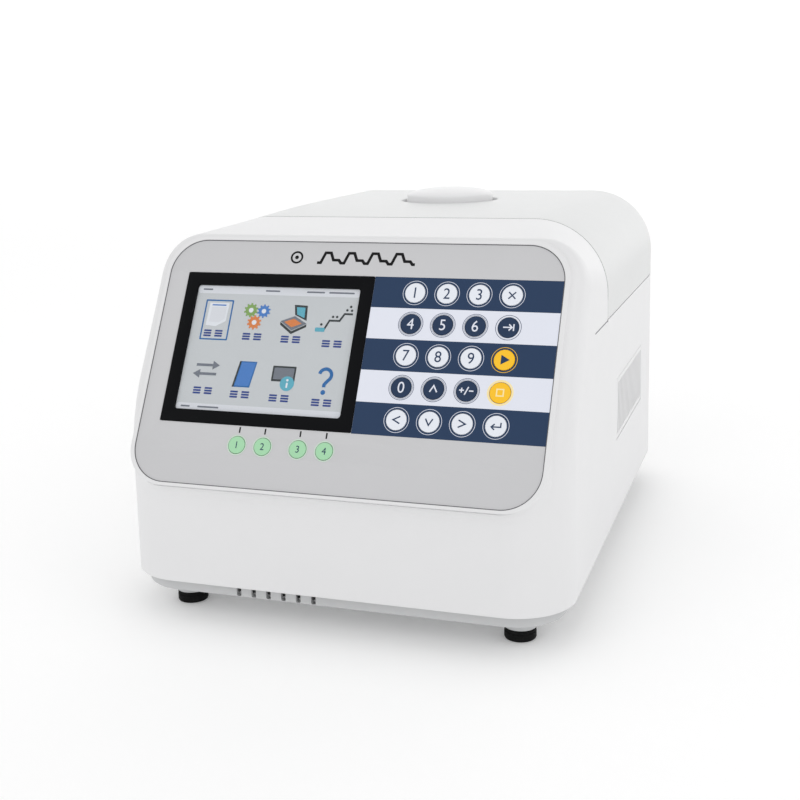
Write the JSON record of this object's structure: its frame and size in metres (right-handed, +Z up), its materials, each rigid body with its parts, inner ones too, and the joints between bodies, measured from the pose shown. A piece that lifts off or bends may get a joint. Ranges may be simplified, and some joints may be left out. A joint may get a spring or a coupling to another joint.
{
  "type": "thermal cycler",
  "caption": "Bench-top thermal cycler: tilted panel with display and round keys, white two-part casing, rear-hinged heated lid with a pressure knob over a well block.",
  "frame": {"origin": "middle of the footprint, on the bench under the feet", "axes": "+Z up, -Y out of the front panel, +X to the right as the user faces it"},
  "size_m": [0.299, 0.4369, 0.262],
  "materials": {
    "casing_white": "fine moulded texture, satin",
    "lid_white": "fine moulded texture, satin",
    "knob_white": "smooth, soft gloss",
    "pan_grey": "powder coat",
    "foot_rubber": "matt",
    "overlay_grey": "printed film, satin",
    "bezel_black": "printed black border",
    "display_glass": "clear pane",
    "display_frame_metal": "stamped frame",
    "switch_mat_rubber": "matt",
    "circuit_board": "solder resist",
    "block_aluminium": "bead blasted",
    "gasket_rubber": "matt",
    "peltier_ceramic": "unglazed",
    "heat_sink_aluminium": "extruded",
    "fan_plastic": "moulded",
    "supply_case": "folded sheet",
    "rear_panel_metal": "powder coat",
    "inlet_plastic": "moulded",
    "rocker_plastic": "moulded",
    "port_steel": "plated shell",
    "hinge_steel": "brushed",
    "bridge_steel": "bent strip",
    "screw_steel": "turned thread",
    "carrier_plastic": "glass-filled",
    "plate_aluminium": "dark anodised",
    "key_white": "printed film dome",
    "key_navy": "printed film dome",
    "key_yellow": "printed film dome",
    "key_green": "printed film dome"
  },
  "bodies": {
    "casing": {"main_housing": "casing_white", "base_pan": "pan_grey", "foot_front_left": "foot_rubber", "foot_front_right": "foot_rubber", "foot_rear_left": "foot_rubber", "foot_rear_right": "foot_rubber", "side_grille_right": "casing_white", "side_grille_left": "casing_white", "overlay_panel": "overlay_grey", "display_bezel": "bezel_black", "display_lens": "display_glass", "lcd_module": "display_frame_metal", "keypad_mat": "switch_mat_rubber", "keypad_board": "circuit_board", "sample_block": "block_aluminium", "block_gasket": "gasket_rubber", "peltier_array": "peltier_ceramic", "heat_sink": "heat_sink_aluminium", "fan_frame": "fan_plastic", "main_board": "circuit_board", "power_supply": "supply_case", "rear_panel": "rear_panel_metal", "power_inlet": "inlet_plastic", "usb_port": "port_steel", "hinge_base_leaf": "hinge_steel", "hinge_pin": "hinge_steel"},
    "lid": {"lid_shell": "lid_white", "lid_liner": "lid_white", "lid_bridge": "bridge_steel", "hinge_lid_leaf": "hinge_steel"},
    "knob": {"pressure_knob": "knob_white", "lead_screw": "screw_steel"},
    "heater": {"heated_plate": "plate_aluminium", "heater_carrier": "carrier_plastic"},
    "rocker": {"power_rocker": "rocker_plastic"},
    "rotor": {"fan_rotor": "fan_plastic"},
    "key_row1_1": {"key_row1_1": "key_white"},
    "key_row1_2": {"key_row1_2": "key_white"},
    "key_row1_3": {"key_row1_3": "key_white"},
    "key_row1_4": {"key_row1_4": "key_white"},
    "key_row2_1": {"key_row2_1": "key_navy"},
    "key_row2_2": {"key_row2_2": "key_navy"},
    "key_row2_3": {"key_row2_3": "key_navy"},
    "key_row2_4": {"key_row2_4": "key_navy"},
    "key_row3_1": {"key_row3_1": "key_white"},
    "key_row3_2": {"key_row3_2": "key_white"},
    "key_row3_3": {"key_row3_3": "key_white"},
    "key_row3_4": {"key_row3_4": "key_yellow"},
    "key_row4_1": {"key_row4_1": "key_navy"},
    "key_row4_2": {"key_row4_2": "key_navy"},
    "key_row4_3": {"key_row4_3": "key_navy"},
    "key_row4_4": {"key_row4_4": "key_yellow"},
    "key_row5_1": {"key_row5_1": "key_white"},
    "key_row5_2": {"key_row5_2": "key_white"},
    "key_row5_3": {"key_row5_3": "key_white"},
    "key_row5_4": {"key_row5_4": "key_white"},
    "soft_key_1": {"soft_key_1": "key_green"},
    "soft_key_2": {"soft_key_2": "key_green"},
    "soft_key_3": {"soft_key_3": "key_green"},
    "soft_key_4": {"soft_key_4": "key_green"}
  },
  "joints": [
    {"name": "lid_hinge", "type": "hinge", "parent": "casing", "child": "lid", "pos_m": [0, 0.2157, 0.1826], "axis": [-1, 0, 0], "range_deg": [0, 80]},
    {"name": "knob_turn", "type": "hinge", "parent": "lid", "child": "knob", "pos_m": [0, 0.0705, 0.25], "axis": [0, 0, -1], "range_deg": [0, 720]},
    {"name": "heater_press", "type": "slide", "parent": "lid", "child": "heater", "axis": [0, 0, -1], "range_m": [0, 0.0046]},
    {"name": "power_switch", "type": "hinge", "parent": "casing", "child": "rocker", "pos_m": [0.078, 0.2073, 0.1115], "axis": [-1, 0, 0], "range_deg": [0, 20]},
    {"name": "fan_spin", "type": "hinge", "parent": "casing", "child": "rotor", "pos_m": [0, 0.193, 0.098], "axis": [0, 1, 0], "continuous": true},
    {"name": "press_key_row1_1", "type": "slide", "parent": "casing", "child": "key_row1_1", "axis": [0, 0.8616, -0.5075], "range_m": [0, 0.0005], "stiffness_N_per_m": 1500},
    {"name": "press_key_row1_2", "type": "slide", "parent": "casing", "child": "key_row1_2", "axis": [0, 0.8616, -0.5075], "range_m": [0, 0.0005], "stiffness_N_per_m": 1500},
    {"name": "press_key_row1_3", "type": "slide", "parent": "casing", "child": "key_row1_3", "axis": [0, 0.8616, -0.5075], "range_m": [0, 0.0005], "stiffness_N_per_m": 1500},
    {"name": "press_key_row1_4", "type": "slide", "parent": "casing", "child": "key_row1_4", "axis": [0, 0.8616, -0.5075], "range_m": [0, 0.0005], "stiffness_N_per_m": 1500},
    {"name": "press_key_row2_1", "type": "slide", "parent": "casing", "child": "key_row2_1", "axis": [0, 0.8616, -0.5075], "range_m": [0, 0.0005], "stiffness_N_per_m": 1500},
    {"name": "press_key_row2_2", "type": "slide", "parent": "casing", "child": "key_row2_2", "axis": [0, 0.8616, -0.5075], "range_m": [0, 0.0005], "stiffness_N_per_m": 1500},
    {"name": "press_key_row2_3", "type": "slide", "parent": "casing", "child": "key_row2_3", "axis": [0, 0.8616, -0.5075], "range_m": [0, 0.0005], "stiffness_N_per_m": 1500},
    {"name": "press_key_row2_4", "type": "slide", "parent": "casing", "child": "key_row2_4", "axis": [0, 0.8616, -0.5075], "range_m": [0, 0.0005], "stiffness_N_per_m": 1500},
    {"name": "press_key_row3_1", "type": "slide", "parent": "casing", "child": "key_row3_1", "axis": [0, 0.8616, -0.5075], "range_m": [0, 0.0005], "stiffness_N_per_m": 1500},
    {"name": "press_key_row3_2", "type": "slide", "parent": "casing", "child": "key_row3_2", "axis": [0, 0.8616, -0.5075], "range_m": [0, 0.0005], "stiffness_N_per_m": 1500},
    {"name": "press_key_row3_3", "type": "slide", "parent": "casing", "child": "key_row3_3", "axis": [0, 0.8616, -0.5075], "range_m": [0, 0.0005], "stiffness_N_per_m": 1500},
    {"name": "press_key_row3_4", "type": "slide", "parent": "casing", "child": "key_row3_4", "axis": [0, 0.8616, -0.5075], "range_m": [0, 0.0005], "stiffness_N_per_m": 1500},
    {"name": "press_key_row4_1", "type": "slide", "parent": "casing", "child": "key_row4_1", "axis": [0, 0.8616, -0.5075], "range_m": [0, 0.0005], "stiffness_N_per_m": 1500},
    {"name": "press_key_row4_2", "type": "slide", "parent": "casing", "child": "key_row4_2", "axis": [0, 0.8616, -0.5075], "range_m": [0, 0.0005], "stiffness_N_per_m": 1500},
    {"name": "press_key_row4_3", "type": "slide", "parent": "casing", "child": "key_row4_3", "axis": [0, 0.8616, -0.5075], "range_m": [0, 0.0005], "stiffness_N_per_m": 1500},
    {"name": "press_key_row4_4", "type": "slide", "parent": "casing", "child": "key_row4_4", "axis": [0, 0.8616, -0.5075], "range_m": [0, 0.0005], "stiffness_N_per_m": 1500},
    {"name": "press_key_row5_1", "type": "slide", "parent": "casing", "child": "key_row5_1", "axis": [0, 0.8616, -0.5075], "range_m": [0, 0.0005], "stiffness_N_per_m": 1500},
    {"name": "press_key_row5_2", "type": "slide", "parent": "casing", "child": "key_row5_2", "axis": [0, 0.8616, -0.5075], "range_m": [0, 0.0005], "stiffness_N_per_m": 1500},
    {"name": "press_key_row5_3", "type": "slide", "parent": "casing", "child": "key_row5_3", "axis": [0, 0.8616, -0.5075], "range_m": [0, 0.0005], "stiffness_N_per_m": 1500},
    {"name": "press_key_row5_4", "type": "slide", "parent": "casing", "child": "key_row5_4", "axis": [0, 0.8616, -0.5075], "range_m": [0, 0.0005], "stiffness_N_per_m": 1500},
    {"name": "press_soft_key_1", "type": "slide", "parent": "casing", "child": "soft_key_1", "axis": [0, 0.8616, -0.5075], "range_m": [0, 0.0005], "stiffness_N_per_m": 1500},
    {"name": "press_soft_key_2", "type": "slide", "parent": "casing", "child": "soft_key_2", "axis": [0, 0.8616, -0.5075], "range_m": [0, 0.0005], "stiffness_N_per_m": 1500},
    {"name": "press_soft_key_3", "type": "slide", "parent": "casing", "child": "soft_key_3", "axis": [0, 0.8616, -0.5075], "range_m": [0, 0.0005], "stiffness_N_per_m": 1500},
    {"name": "press_soft_key_4", "type": "slide", "parent": "casing", "child": "soft_key_4", "axis": [0, 0.8616, -0.5075], "range_m": [0, 0.0005], "stiffness_N_per_m": 1500}
  ],
  "couplings": [
    {"joint": "heater_press", "follows": "knob_turn", "m_per_rad": 0.00036606}
  ]
}
